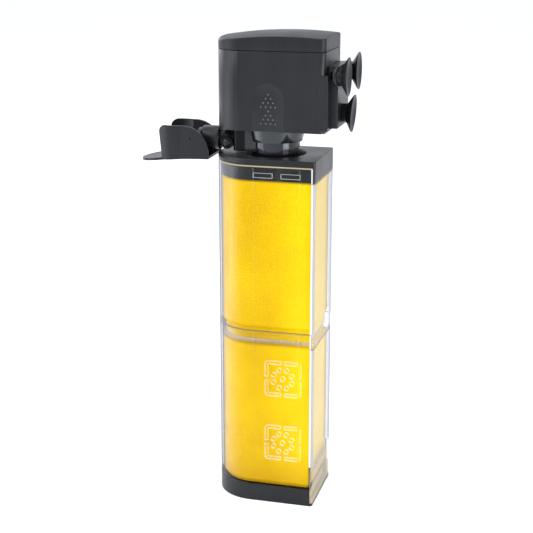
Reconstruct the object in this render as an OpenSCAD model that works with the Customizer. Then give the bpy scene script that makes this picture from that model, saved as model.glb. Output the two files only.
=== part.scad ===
// Internal aquarium power filter: a pump head on a two-stage clear canister filled with filter sponge.
// The origin is on the pump's axis, on the underside of the base. +Z is up, -Y is the outlet side and
// +Y is the flat side that faces the aquarium glass.

/* [Canister] */
// Width of the canister across its two flat sides
can_w = 66.6; // [64:0.2:70]
// Distance from the pump's axis to the round front
can_front = 46.8; // [45:0.2:50]
// Distance from the pump's axis to the flat back
can_back = 39.8; // [38:0.2:44]
// Rounding of the two back corners
corner_r = 2.2; // [1:0.2:4]
// Wall of the clear cups, the lid's skirt and the base
wall = 2; // [1.8:0.1:2.4]
// Height that each cup adds to the stack
cup_pitch = 135.1; // [110:0.1:160]
// Height of the base's rim
base_rim = 14.6; // [14.6:0.1:20]
// Thickness of the lid above the upper cup's rim
lid_t = 5.2; // [4:0.1:7]
// How far each piece reaches down into the one below it
overlap = 12; // [10:0.5:12]

/* [Sponge] */
// Space between a sponge and the outside of its cup
sponge_inset = 3.4; // [3.4:0.1:5]

/* [Pump head] */
// Width of the pump head
head_w = 58; // [56:0.5:60]
// Distance from the pump's axis to the front of the head
head_front = 44.4; // [43:0.1:47]
// Distance from the pump's axis to the back of the head
head_back = 45.9; // [44:0.1:48]
// Height of the head's lower housing
housing_h = 62; // [58:0.5:66]
// Height of the crowned cap above the housing
cap_h = 13.9; // [13:0.1:16]
// Space between the lid and the underside of the head
head_gap = 21; // [21:0.5:26]

/* [Outlet] */
// Outer radius of the outlet pipe
pipe_r = 6.8; // [6.4:0.1:7.4]
// Half the width of the flow nozzle
nozzle_half = 18; // [16:0.5:20]

/* [Suction cups] */
// Radius of a suction cup's rim
cup_r = 15; // [12:0.5:16]
// Distance of the upper suction cups from the centre plane
cup_x = 20; // [18:0.5:21]

/* [Hidden] */
$fn = 96;
gap = 0.1;
run_gap = 0.05;

// canister
half_w = can_w / 2;
front_y = half_w - can_front;
base_floor = base_rim - overlap - gap;
spigot_inset = wall + gap;
bore_inset = spigot_inset + 1.8;
shoulder_h = 4.5;
floor_t = 2;
floor_lift = 1;
joint_1 = base_rim;
joint_2 = joint_1 + cup_pitch;
joint_3 = joint_2 + cup_pitch;
lid_top = joint_3 + lid_t;
post_w = 1.2;
post_top = joint_1 + 20.3;
post_foot = 1.6;
post_x = half_w - spigot_inset - post_w;
post_y = can_back - spigot_inset - post_w;
panel_y = 8.8;
panel_half = 18.75;
panel_line = 0.25;
tab_h = 1.5;
slot_pitch = 4.8;
slot_rows = 15;
rib_half = 1.6;

// intake grilles of the lower cup
grille_y = 14.4;
grille_z = [joint_1 + 38.95, joint_1 + 94.95];
grille_reach = 13.7;
grille_slot = [12, 2.6];
grille_slot_at = 7.6;
grille_hole_r = 2;
grille_ring_r = 8.2;

// bypass slots near the upper cup's rim
bypass_slot = [15.3, 3.6];
bypass_y = 11.2;
bypass_z = joint_3 - 7.7;

// lid well and neck
lid_plate_t = 2.4;
well_r = 24.5;
well_floor = lid_top - 13;
well_floor_t = 1.5;
well_hole_r = 12;
well_wall = 1.8;
socket_r = 18.45;
socket_h = 7;
neck_r = 18.3;
neck_bottom = well_floor + 2.2;
neck_bore_r = 15.6;
seal_z = neck_bottom + 3.4;
seal_groove_r = 17;
seal_r = 0.7;
seal_groove_h = 1.6;

// impeller chamber
chamber_r = 17;
chamber_floor = lid_top + 2;
chamber_floor_t = 1.8;
ring_z = lid_top + 10.5;
ring_r = [21.4, 23.6];
inlet_r = [4.2, 8];
spoke_w = 1.8;
top_seal_r = 0.75;
top_seal_ring = 20;
block_half = 12;
block_front = -33;
block_r = 4;
block_z = lid_top + 1.8;
head_z = lid_top + head_gap;
chamber_top = head_z - gap;
pipe_z = lid_top + 9.9;
pipe_bore_r = pipe_r - 1.4;
pipe_end = 57;
boss_y = -37.8;
boss_z = pipe_z - 2.4;
boss_r = 4.8;
boss_end = 11;
knob_r = 3.3;
knob_stem_r = 2;
knob_seat = 8.5;
knob_dome = 4.5;
bush_t = 3.6;

// pump head
head_half = head_w / 2;
front_r = 22;
back_r = 4.8;
shell_t = 2.6;
part_z = head_z + housing_h;
seam = 0.4;
crown_z = part_z + cap_h;
crown_y = 14;
crown_long_r = 330;
crown_cross_r = 165;
head_low_r = 4;
brow_r = 3.5;
brow_z = part_z + 5.8;
well_in_r = 9.8;
well_tube_t = 1.1;
rotor_top = head_z + 38;
shaft_r = 1.5;
press = 0.02;
magnet_r = 9.2;
magnet_bore_r = 3.05;
magnet_h = 32;
hub_r = 3;
blade_r = 15.4;
blade_t = 1.2;
shroud_t = 1.4;
rail_x = 20.3;
rail_out = 0.3;
rail_y = head_back + 2.2;
rail_z = head_z + 2.4;
rail_top = head_z + 44.7;
grip_y = 0.7;
grip_top = head_z + 25;
grip_half = 12.5;
grip_depth = 1.6;
grip_r = (grip_half * grip_half + grip_depth * grip_depth) / (2 * grip_depth);
gland_pos = [-20, 33];
gland_r = 3.5;
gland_bore_r = 2.3;
gland_h = 8.4;
gland_flange = 1;
cap_wall = shell_t + 1.6;
cap_lip = 3;
cap_pocket = 5.5;

// stator, wound round the yoke behind the rotor
core_z = head_z + 11;
core_h = 24;
leg_in = 11.2;
leg_out = 18.5;
leg_front = -12;
pole_in = 7;
pole_half = 9;
yoke_y = 26;
yoke_t = 8;
bobbin_half = 10.6;
bobbin_t = 1.2;
flange_reach = 6;
coil_reach = 5.2;
resin_z = head_z + 46;
resin_h = 8;

// outlet
collar_r = 9.5;
collar_back = 45;
collar_front = 60.1;
nozzle_back = 51.5;
nozzle_t = 1.8;
nozzle_top = lid_top + 20.8;
nozzle_crease = 74.7;
bulge_c = [-3.5, -81.7];
bulge_r = 22.6;
arc_r = 20.8;
arc_y = -nozzle_back - arc_r + 0.1;
arc_z = nozzle_top - arc_r;
plate_r = 400;
plate_y = -48;
plate_z = lid_top - 5.2;
plate_t = 2;
tongue_y = -94.5;

nozzle_bow_front = -87.6;
nozzle_corner = 5.5;
spigot_r = 7.5;
spigot_l = 4;

// bracket and suction cups
bracket_half = 20;
tongue_w = 3;
tongue_t = 0.8;
lobe_r = 7;
bracket_y = head_back + gap;
bracket_back = head_back + 8;
bracket_z = rail_z + 0.8;
bracket_top = head_z + 51;
stud_r = 3.2;
stud_l = 4.2;
cup_neck_l = 3;
cup_neck_r = 7.2;
cup_edge = 1.1;
cup_hollow = 3;
upper_cup_z = head_z + 43.6;
lower_cup_z = head_z + 13;
rim_y = head_back + 16.6;
stud_places = [[-cup_x, upper_cup_z], [cup_x, upper_cup_z], [0, lower_cup_z]];

// ---------------------------------------------------------------- canister

// D-shaped outline of the canister: a full-round front and a flat back, moved in by an inset
module can_outline(inset = 0) {
    half = half_w - inset;
    back = can_back - inset;
    r = max(corner_r - inset, 0.4);
    translate([0, front_y]) circle(r = half);
    translate([-half, front_y]) square([2 * half, back - r - front_y]);
    translate([r - half, front_y]) square([2 * (half - r), back - front_y]);
    for (side = [-1, 1]) translate([side * (half - r), back - r]) circle(r = r);
}

// The outline as a prism between two heights
module can_prism(low, high, inset = 0) {
    translate([0, 0, low]) linear_extrude(high - low) can_outline(inset);
}

// The part of a lower piece's back wall that makes room for the piece above
module back_notch(low, high) {
    translate([-can_w, can_back - spigot_inset, low]) cube([2 * can_w, 2 * wall, high - low]);
}

// The skirt that a cup or the lid puts into the piece below: its back wall is full thickness
module spigot(joint) {
    can_prism(joint - overlap, joint + gap, spigot_inset);
    intersection() {
        can_prism(joint - overlap, joint + gap);
        translate([-can_w, can_back - wall, joint - overlap]) cube([2 * can_w, wall, overlap + gap]);
    }
    filler = half_w - spigot_inset - 1;
    translate([-filler, can_back - wall - 1, joint - overlap]) cube([2 * filler, tab_h, overlap + gap]);
}

// Perforated floor's slots: rows across the cup in two columns
module floor_slots(low) {
    translate([0, 0, low]) linear_extrude(floor_t + 1) intersection() {
        can_outline(bore_inset + slot_pitch / 2);
        for (row = [0 : slot_rows - 1], side = [0, 1])
            mirror([side, 0]) translate([rib_half, row * slot_pitch - 40])
                square([half_w - rib_half, slot_pitch / 2]);
    }
}

// One intake grille: eight slots round a square, a ring of eight holes and one in the middle
module grille(z) {
    translate([0, grille_y, z]) {
        for (turn = [0 : 90 : 270], half = [-1, 1])
            rotate([turn, 0, 0]) translate([0, half * grille_slot_at, grille_reach])
                cube([2 * can_w, grille_slot.x, grille_slot.y], center = true);
        for (angle = [22.5 : 45 : 337.5])
            translate([0, grille_ring_r * cos(angle), grille_ring_r * sin(angle)]) grille_hole();
        grille_hole();
    }
}

module grille_hole() rotate([0, 90, 0]) cylinder(h = 2 * can_w, r = grille_hole_r, center = true);

// A clear cup that stands on the joint at the given height
module cup(joint) {
    top = joint + cup_pitch - gap;
    floor_z = joint - overlap + floor_lift;
    difference() {
        union() {
            can_prism(joint, top);
            spigot(joint);
        }
        can_prism(joint + shoulder_h, top + 1, wall);
        can_prism(floor_z + floor_t, joint + shoulder_h + 1, bore_inset);
        can_prism(joint - overlap - 1, floor_z, bore_inset);
        back_notch(joint + cup_pitch - overlap - gap, top + 1);
        floor_slots(floor_z - 0.5);
        for (side = [-1, 1], edge = [-1, 1])
            translate([side * half_w, panel_y + edge * panel_half, joint + cup_pitch / 2 + 3])
                cube([2 * panel_line, 2 * panel_line, cup_pitch], center = true);
    }
}

module base_tray() color("dimgray") {
    difference() {
        can_prism(0, base_rim - gap);
        can_prism(base_floor, base_rim + 1, wall);
        back_notch(base_floor, base_rim + 1);
    }
    for (side = [0, 1]) mirror([side, 0, 0]) translate([post_x, post_y, base_floor - 0.5]) {
        cube([post_w, post_w, post_top - base_floor + 0.5]);
        cube([post_foot, post_w, 8]);
    }
}

module lower_cup() color("gainsboro", 0.4) difference() {
    cup(joint_1);
    for (z = grille_z) grille(z);
    for (side = [0, 1]) mirror([side, 0, 0]) translate([post_x - gap, post_y - gap, 0])
        cube([post_w + 2 * gap, post_w + 2 * gap, post_top + gap]);
}

module upper_cup() color("gainsboro", 0.4) difference() {
    cup(joint_2);
    for (side = [-1, 1]) translate([0, panel_y + side * bypass_y, bypass_z])
        cube([2 * can_w, bypass_slot.x, bypass_slot.y], center = true);
}

// A sponge block, narrower where it stands inside the cup's spigot
module sponge(joint) {
    step = joint + shoulder_h + 0.3;
    can_prism(joint - overlap + floor_lift + floor_t + 0.2, step + 1, bore_inset + 0.5);
    can_prism(step, joint + cup_pitch - overlap - 0.5, sponge_inset);
}

module lower_sponge() color("gold") sponge(joint_1);

module upper_sponge() color("gold") sponge(joint_2);

// Lid with a round well, and in its floor a socket for the pump's neck
module canister_lid() color("dimgray") {
    well_depth = lid_top - well_floor;
    difference() {
        union() {
            can_prism(joint_3, lid_top);
            spigot(joint_3);
        }
        can_prism(joint_3 - overlap - 1, lid_top - lid_plate_t, bore_inset);
        translate([0, 0, lid_top - 8]) cylinder(h = 9, r = well_r);
    }
    translate([0, 0, well_floor - well_floor_t]) difference() {
        cylinder(h = well_depth, r = well_r + well_wall);
        translate([0, 0, well_floor_t]) cylinder(h = well_depth, r = well_r);
        translate([0, 0, -1]) cylinder(h = 4, r = well_hole_r);
    }
    translate([0, 0, well_floor - 0.2]) difference() {
        cylinder(h = socket_h + 0.2, r = socket_r + well_wall);
        translate([0, 0, -1]) cylinder(h = socket_h + 2, r = socket_r);
    }
}

// ---------------------------------------------------------------- impeller chamber and outlet

module neck_o_ring() color("black")
    translate([0, 0, seal_z]) rotate_extrude()
        translate([seal_groove_r + seal_r, 0]) circle(r = seal_r, $fn = 32);

// Round chamber under the head, with the intake neck below it and the outlet pipe in front
module impeller_chamber() color("dimgray") difference() {
    union() {
        translate([0, 0, neck_bottom]) cylinder(h = chamber_floor - neck_bottom + 4, r = neck_r);
        translate([0, 0, lid_top + 5.5]) cylinder(h = chamber_top - lid_top - 5.5, r = neck_r + 1);
        translate([0, 0, ring_z]) cylinder(h = chamber_top - ring_z, r1 = ring_r[0], r2 = ring_r[1]);
        chamber_block();
        translate([0, 0, pipe_z]) rotate([90, 0, 0]) cylinder(h = pipe_end, r = pipe_r);
        translate([0, boss_y, boss_z]) rotate([0, 90, 0]) cylinder(h = boss_end, r = boss_r);
    }
    translate([0, 0, chamber_floor]) cylinder(h = head_gap, r = chamber_r);
    translate([0, 0, neck_bottom - 1])
        cylinder(h = chamber_floor - chamber_floor_t - neck_bottom + 1, r = neck_bore_r);
    translate([0, 0, chamber_floor - 3]) inlet();
    translate([0, 0, chamber_floor - 1.4]) cylinder(h = 4, r = shaft_r + run_gap);
    translate([0, -12, pipe_z]) rotate([90, 0, 0]) cylinder(h = pipe_end, r = pipe_bore_r);
    translate([0, boss_y, boss_z]) rotate([0, 90, 0]) {
        translate([0, 0, knob_seat]) cylinder(h = 4, r = knob_r + gap);
        translate([0, 0, 4]) cylinder(h = 6, r = knob_stem_r + run_gap);
    }
    translate([0, 0, seal_z - seal_groove_h / 2]) ring(neck_r + 1, seal_groove_r, seal_groove_h);
    translate([0, 0, chamber_top - 2 * top_seal_r]) ring(top_seal_ring + 1, top_seal_ring - 1, 2);
}

// Squared block in front of the chamber that carries the outlet pipe
module chamber_block() {
    height = chamber_top - block_z;
    translate([-block_half, block_front + block_r, block_z]) cube([2 * block_half, 16, height]);
    translate([block_r - block_half, block_front, block_z]) cube([2 * (block_half - block_r), 20, height]);
    for (side = [-1, 1]) translate([side * (block_half - block_r), block_front + block_r, block_z])
        cylinder(h = height, r = block_r);
}

// Ring-shaped intake in the chamber's floor, crossed by three spokes
module inlet() difference() {
    cylinder(h = 4, r = inlet_r[1]);
    cylinder(h = 4, r = inlet_r[0]);
    for (angle = [0, 60, 120]) rotate([0, 0, angle]) translate([-inlet_r[1] - 1, -spoke_w / 2, 0])
        cube([2 * inlet_r[1] + 2, spoke_w, 4]);
}

module ring(outer, inner, height) difference() {
    cylinder(h = height, r = outer);
    translate([0, 0, -1]) cylinder(h = height + 2, r = inner);
}

module chamber_seal() color("black")
    translate([0, 0, chamber_top - top_seal_r]) rotate_extrude()
        translate([top_seal_ring, 0]) circle(r = top_seal_r, $fn = 32);

module lower_bush() color("ivory")
    translate([0, 0, chamber_floor + press]) ring(inlet_r[0] - 0.8, shaft_r + press, bush_t);

// Collar that turns on the outlet pipe and carries the nozzle on its front spigot
module swivel_collar() color("dimgray") translate([0, -collar_back, pipe_z]) rotate([90, 0, 0]) {
    length = collar_front - collar_back;
    edge = 2;
    difference() {
        union() {
            translate([0, 0, edge]) cylinder(h = length - edge, r = collar_r);
            cylinder(h = length, r = collar_r - edge);
            translate([0, 0, edge]) rotate_extrude() translate([collar_r - edge, 0]) circle(r = edge);
            cylinder(h = length + spigot_l, r = spigot_r);
        }
        translate([0, 0, -1]) cylinder(h = pipe_end - collar_back + 1.5, r = pipe_r + run_gap);
        translate([0, 0, -1]) cylinder(h = length + spigot_l + 2, r = pipe_bore_r);
    }
}

// Nozzle's walls in plan: flat beside the collar, bowed in front of the crease
module nozzle_walls() {
    for (side = [0, 1]) mirror([side, 0]) {
        translate([nozzle_half - nozzle_t, -nozzle_crease]) square([nozzle_t, nozzle_crease - nozzle_back]);
        intersection() {
            translate(bulge_c) difference() {
                circle(r = bulge_r);
                circle(r = bulge_r - nozzle_t);
            }
            translate([nozzle_half / 3, -100]) square([30, 100 - nozzle_crease]);
        }
    }
}

// Nozzle's floor in plan, with the round tongue in front
module nozzle_floor() {
    translate([-nozzle_half, -nozzle_crease]) square([2 * nozzle_half, nozzle_crease - nozzle_back]);
    for (side = [0, 1]) mirror([side, 0]) intersection() {
        translate(bulge_c) circle(r = bulge_r);
        translate([0, tongue_y]) square([30, -tongue_y - nozzle_crease]);
    }
    translate([0, tongue_y]) circle(r = nozzle_half);
}

// A wall seen from the side: round front corner, and a round cut down to the back
module nozzle_side() {
    foot = plate_z - 8;
    translate([nozzle_bow_front, nozzle_top - nozzle_corner]) circle(r = nozzle_corner);
    polygon([[arc_y, foot], [arc_y, nozzle_top], [nozzle_bow_front, nozzle_top],
             [nozzle_bow_front - nozzle_corner, nozzle_top - nozzle_corner],
             [nozzle_bow_front - 2.3, foot]]);
    translate([arc_y, foot]) square([arc_r, arc_z - foot]);
    intersection() {
        translate([arc_y, arc_z]) circle(r = arc_r);
        translate([arc_y - 1, arc_z - 1]) square(arc_r + 2);
    }
}

// Extrudes a shape drawn in Y and Z along X, centred
module along_x(length) {
    rotate([90, 0, 90]) linear_extrude(length, center = true) children();
}

// Space above the curved underside of the nozzle's floor
module above_plate() {
    difference() {
        translate([-130, plate_z - 10]) square([100, 60]);
        translate([plate_y, plate_z - plate_r]) circle(r = plate_r, $fn = 360);
    }
}

module flow_nozzle() color("dimgray") {
    intersection() {
        translate([0, 0, plate_z - 9]) linear_extrude(60) nozzle_walls();
        along_x(80) intersection() {
            nozzle_side();
            above_plate();
        }
    }
    intersection() {
        translate([0, 0, plate_z - 20]) linear_extrude(40) nozzle_floor();
        along_x(80) intersection() {
            above_plate();
            translate([plate_y, plate_z - plate_r]) circle(r = plate_r + plate_t, $fn = 360);
        }
    }
    difference() {
        translate([0, -collar_front - gap - nozzle_t, 0]) intersection() {
            translate([-nozzle_half + 0.5, 0, plate_z]) cube([2 * nozzle_half - 1, nozzle_t, 30]);
            translate([0, 0, plate_z + 2.8]) rotate([-90, 0, 0]) cylinder(h = nozzle_t, r = 20.2);
        }
        translate([0, 0, pipe_z]) rotate([90, 0, 0]) cylinder(h = 80, r = spigot_r + run_gap);
    }
}

module air_knob() color("dimgray") translate([0, boss_y, boss_z]) rotate([0, 90, 0]) {
    head = boss_end + 0.8;
    translate([0, 0, 6.2]) cylinder(h = 4, r = knob_stem_r);
    translate([0, 0, knob_seat + gap]) cylinder(h = head - knob_seat - gap, r = knob_r);
    translate([0, 0, head]) intersection() {
        translate([0, 0, -knob_dome]) sphere(r = sqrt(knob_r * knob_r + knob_dome * knob_dome));
        cylinder(h = 4, r = knob_r);
    }
}

// ---------------------------------------------------------------- pump head

// Head's outline: large front corners and small back ones
module head_outline(inset = 0) {
    half = head_half - inset;
    front = inset - head_front;
    back = head_back - inset;
    rf = front_r - inset;
    rb = max(back_r - inset, 0.5);
    translate([-half, front + rf]) square([2 * half, back - rb - front - rf]);
    translate([rb - half, 0]) square([2 * (half - rb), back]);
    translate([rf - half, front]) square([2 * (half - rf), -front]);
    for (side = [-1, 1]) {
        translate([side * (half - rf), front + rf]) circle(r = rf);
        translate([side * (half - rb), back - rb]) circle(r = rb);
    }
}

// Head seen from the side, with rounded lower and upper edges
module head_side() {
    length = head_front + head_back;
    translate([head_low_r - head_front, head_z]) square([length - head_low_r, housing_h]);
    translate([-head_front, head_z + head_low_r]) square([length, brow_z - head_z - head_low_r]);
    translate([head_low_r - head_front, head_z + head_low_r]) circle(r = head_low_r);
    translate([brow_r - head_front, part_z]) square([length - brow_r, cap_h]);
    translate([brow_r - head_front, brow_z]) circle(r = brow_r);
}

// The crowned surface of the cap: a slice of a large ring, curved along and across the head
module crown() {
    translate([0, crown_y, crown_z - crown_long_r]) rotate([0, 90, 0])
        rotate_extrude($fn = 360)
            translate([crown_long_r - crown_cross_r, 0]) circle(r = crown_cross_r, $fn = 180);
}

// Shallow finger grip in the side of the housing, round at its top
module grip() {
    translate([head_half - grip_depth + grip_r, grip_y, 0]) {
        translate([0, 0, head_z - 1]) cylinder(h = grip_top - head_z + 1, r = grip_r, $fn = 240);
        translate([0, 0, grip_top]) sphere(r = grip_r, $fn = 240);
    }
}

// Rail on the back of the housing that holds one side of the bracket
module rail() {
    difference() {
        translate([rail_x, head_back - 6, rail_z])
            cube([head_half + rail_out - rail_x, rail_y - head_back + 6, rail_top - rail_z]);
        translate([rail_x - 1, head_back, bracket_z - gap]) cube([4.4, 1, rail_top]);
        translate([0, 0, head_z]) linear_extrude(housing_h) head_outline(shell_t - 1);
    }
}

module pump_housing() color("dimgray") {
    difference() {
        intersection() {
            translate([0, 0, head_z]) linear_extrude(housing_h - seam / 2) head_outline();
            along_x(80) head_side();
        }
        translate([0, 0, head_z + 3]) linear_extrude(housing_h) head_outline(shell_t);
        for (side = [0, 1]) mirror([side, 0, 0]) grip();
        translate([0, 0, head_z - 1]) cylinder(h = 8, r = well_in_r);
    }
    for (side = [0, 1]) mirror([side, 0, 0]) rail();
    difference() {
        union() {
            translate([0, 0, head_z - 2.6]) cylinder(h = 3, r = chamber_r - run_gap);
            translate([0, 0, head_z - 1])
                cylinder(h = rotor_top + 3.5 - head_z, r = well_in_r + well_tube_t);
        }
        translate([0, 0, head_z - 4]) cylinder(h = rotor_top - head_z + 4, r = well_in_r);
        translate([0, 0, rotor_top - 1]) cylinder(h = 2.6, r = shaft_r + press);
    }
}

module pump_cap() color("dimgray") {
    difference() {
        intersection() {
            translate([0, 0, part_z + seam / 2]) linear_extrude(cap_h) head_outline();
            along_x(80) head_side();
            crown();
        }
        translate([0, 0, part_z - 1]) linear_extrude(cap_pocket + 1) head_outline(cap_wall);
        translate([gland_pos.x, gland_pos.y, part_z]) cylinder(h = 2 * cap_h, r = gland_r);
    }
    translate([0, 0, part_z - cap_lip]) linear_extrude(cap_lip + 0.4) difference() {
        head_outline(shell_t + gap);
        head_outline(cap_wall);
    }
}

module cable_gland() color("black")
    translate([gland_pos.x, gland_pos.y, part_z + cap_pocket - 2.5]) difference() {
        union() {
            cylinder(h = gland_h, r = gland_r - press);
            cylinder(h = 2.4, r = gland_r + gland_flange);
        }
        translate([0, 0, -1]) cylinder(h = gland_h + 3, r = gland_bore_r);
    }

module stator_core() color("silver") translate([0, 0, core_z]) linear_extrude(core_h) {
    difference() {
        for (side = [0, 1]) mirror([side, 0]) {
            translate([leg_in, leg_front]) square([leg_out - leg_in, yoke_y + yoke_t - leg_front]);
            translate([pole_in, -pole_half]) square([leg_in - pole_in + 1, 2 * pole_half]);
        }
        circle(r = well_in_r + well_tube_t + 0.15);
    }
    translate([-leg_out, yoke_y]) square([2 * leg_out, yoke_t]);
}

// Outline round the yoke, seen along X
module yoke_frame(grow) {
    translate([yoke_y - grow, core_z - grow]) square([yoke_t + 2 * grow, core_h + 2 * grow]);
}

module coil_bobbin() color("ivory") {
    along_x(2 * bobbin_half) difference() {
        yoke_frame(bobbin_t);
        yoke_frame(gap);
    }
    for (side = [0, 1]) mirror([side, 0, 0]) translate([bobbin_half - bobbin_t / 2, 0, 0])
        along_x(bobbin_t) difference() {
            yoke_frame(flange_reach);
            yoke_frame(gap);
        }
}

module stator_coil() color("chocolate") along_x(2 * (bobbin_half - bobbin_t) - gap) difference() {
    yoke_frame(coil_reach);
    yoke_frame(bobbin_t + run_gap);
}

module resin_fill() color("black")
    translate([0, 0, resin_z]) linear_extrude(resin_h) head_outline(shell_t + gap);

module upper_bush() color("ivory")
    translate([0, 0, rotor_top - 2.5]) ring(hub_r + 1.5, shaft_r + press, 2.4);

module rotor_shaft() color("white")
    translate([0, 0, chamber_floor - 1.3]) cylinder(h = rotor_top - chamber_floor + 2.8, r = shaft_r);

module rotor_magnet() color("darkslategray")
    translate([0, 0, head_z + 1]) ring(magnet_r, magnet_bore_r, magnet_h);

// Six straight blades under a thin shroud, on a hub that runs up through the magnet
module impeller() color("white") difference() {
    blade_z = chamber_floor + 4;
    union() {
        translate([0, 0, blade_z - 0.2]) cylinder(h = rotor_top - blade_z - 2.5, r = hub_r);
        translate([0, 0, head_z - 5.8]) cylinder(h = shroud_t, r = blade_r + 0.1);
        translate([0, 0, head_z - 0.4]) cylinder(h = 1.3, r = magnet_r);
        for (blade = [0 : 60 : 300]) rotate([0, 0, blade])
            translate([2, -blade_t / 2, blade_z]) cube([blade_r - 2, blade_t, head_z - 5 - blade_z]);
    }
    translate([0, 0, chamber_floor]) cylinder(h = 80, r = shaft_r + run_gap);
}

// ---------------------------------------------------------------- bracket and suction cups

// Flat bracket that slides down between the rails; each cup's stud presses into a lobe
module cup_bracket() color("dimgray") difference() {
    union() {
        translate([-bracket_half, bracket_y, bracket_z])
            cube([2 * bracket_half, bracket_back - bracket_y, bracket_top - bracket_z]);
        translate([-bracket_half - tongue_w, bracket_y, bracket_z])
            cube([2 * (bracket_half + tongue_w), tongue_t, rail_top - bracket_z]);
        for (place = stud_places) translate([place.x, bracket_back, place.y])
            rotate([90, 0, 0]) cylinder(h = 3, r = lobe_r);
    }
    translate([-bracket_half + 2, bracket_y + 2, bracket_z - 1])
        cube([2 * bracket_half - 4, 3, bracket_top - bracket_z - 1]);
    for (place = stud_places) translate([place.x, bracket_back + 1, place.y])
        rotate([90, 0, 0]) cylinder(h = stud_l + 2.3, r = stud_r + run_gap);
}

// A rubber suction cup: a stud, a neck and a thin disc that leans a little, as soft rubber does
module suction_cup(place, lean) {
    disc_y = bracket_back + gap + cup_neck_l;
    depth = rim_y - disc_y;
    hollow_r = (pow(cup_r - 0.8, 2) + cup_hollow * cup_hollow) / (2 * cup_hollow);
    translate([place.x, 0, place.y]) {
        translate([0, bracket_back - stud_l, 0]) rotate([-90, 0, 0]) cylinder(h = stud_l + 1.8, r = stud_r);
        translate([0, bracket_back + gap, 0]) rotate([-90, 0, 0])
            cylinder(h = cup_neck_l + 1, r = cup_neck_r);
        translate([0, disc_y, 0]) rotate(lean) rotate([-90, 0, 0]) difference() {
            union() {
                cylinder(h = depth - cup_edge, r1 = cup_neck_r - 0.2, r2 = cup_r - 0.9);
                translate([0, 0, depth - cup_edge]) cylinder(h = cup_edge, r1 = cup_r - 0.9, r2 = cup_r);
            }
            translate([0, 0, depth + hollow_r - cup_hollow]) sphere(r = hollow_r, $fn = 180);
        }
    }
}

module left_suction_cup() color("dimgray") suction_cup(stud_places[0], [0, 0, 3]);

module right_suction_cup() color("dimgray") suction_cup(stud_places[1], [0, 0, 3]);

module lower_suction_cup() color("dimgray") suction_cup(stud_places[2], [-4, 0, 3]);

base_tray();
lower_cup();
lower_sponge();
upper_cup();
upper_sponge();
canister_lid();
neck_o_ring();
impeller_chamber();
chamber_seal();
lower_bush();
pump_housing();
pump_cap();
cable_gland();
stator_core();
coil_bobbin();
stator_coil();
resin_fill();
upper_bush();
rotor_shaft();
rotor_magnet();
impeller();
swivel_collar();
flow_nozzle();
air_knob();
cup_bracket();
left_suction_cup();
right_suction_cup();
lower_suction_cup();
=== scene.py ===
# Looks for an internal aquarium power filter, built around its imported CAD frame.
# Metres, +Z up, -Y towards the outlet nozzle, +Y towards the aquarium glass.
import math

import bmesh
import bpy
from mathutils import Matrix, Vector, noise
from mathutils.bvhtree import BVHTree


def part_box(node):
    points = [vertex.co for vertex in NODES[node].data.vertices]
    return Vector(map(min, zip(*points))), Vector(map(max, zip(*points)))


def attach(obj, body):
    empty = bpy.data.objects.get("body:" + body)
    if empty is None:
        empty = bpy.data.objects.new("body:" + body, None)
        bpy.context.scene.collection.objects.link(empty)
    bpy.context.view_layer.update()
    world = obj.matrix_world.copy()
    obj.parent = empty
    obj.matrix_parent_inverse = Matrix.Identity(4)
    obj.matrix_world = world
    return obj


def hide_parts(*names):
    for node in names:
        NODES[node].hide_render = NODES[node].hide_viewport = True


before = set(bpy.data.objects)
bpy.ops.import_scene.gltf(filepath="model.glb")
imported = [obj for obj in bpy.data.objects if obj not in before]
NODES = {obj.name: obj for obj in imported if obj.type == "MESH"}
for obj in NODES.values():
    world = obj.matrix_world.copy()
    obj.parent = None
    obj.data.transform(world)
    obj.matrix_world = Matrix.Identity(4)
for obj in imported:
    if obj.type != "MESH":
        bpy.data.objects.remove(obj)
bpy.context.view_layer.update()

MM = 0.001

# ------------------------------------------------------------------ camera

VIEW_AZIMUTH = math.radians(105.13)
VIEW_PITCH = math.radians(15.67)
VIEW_DISTANCE = 1.0553
VIEW_AIM = Vector((1.133, -7.69, 194.68)) * MM
LENS_MM = 86.84
SENSOR_MM = 36.0
FAR_CLIP = 20


def make_camera():
    """A long lens, a little above the lid, looking at the side and the back of the filter."""
    right = Vector((math.cos(VIEW_AZIMUTH), math.sin(VIEW_AZIMUTH), 0))
    level = Vector((-right.y, right.x, 0))
    ahead = level * math.cos(VIEW_PITCH) - Vector((0, 0, math.sin(VIEW_PITCH)))
    up = right.cross(ahead)
    data = bpy.data.cameras.new("camera")
    data.lens = LENS_MM
    data.sensor_width = SENSOR_MM
    data.clip_end = FAR_CLIP
    camera = bpy.data.objects.new("camera", data)
    bpy.context.scene.collection.objects.link(camera)
    turn = Matrix((right, up, -ahead)).transposed()
    camera.matrix_world = Matrix.Translation(VIEW_AIM - ahead * VIEW_DISTANCE) @ turn.to_4x4()
    bpy.context.scene.camera = camera


# ------------------------------------------------------------------ shader building

NOISE_LOW = 0.3       # nearly all of a noise's values lie between these two
NOISE_HIGH = 0.7
MASK_SOFT = 0.05 * MM
MASK_STEP = 0.1 * MM


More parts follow.
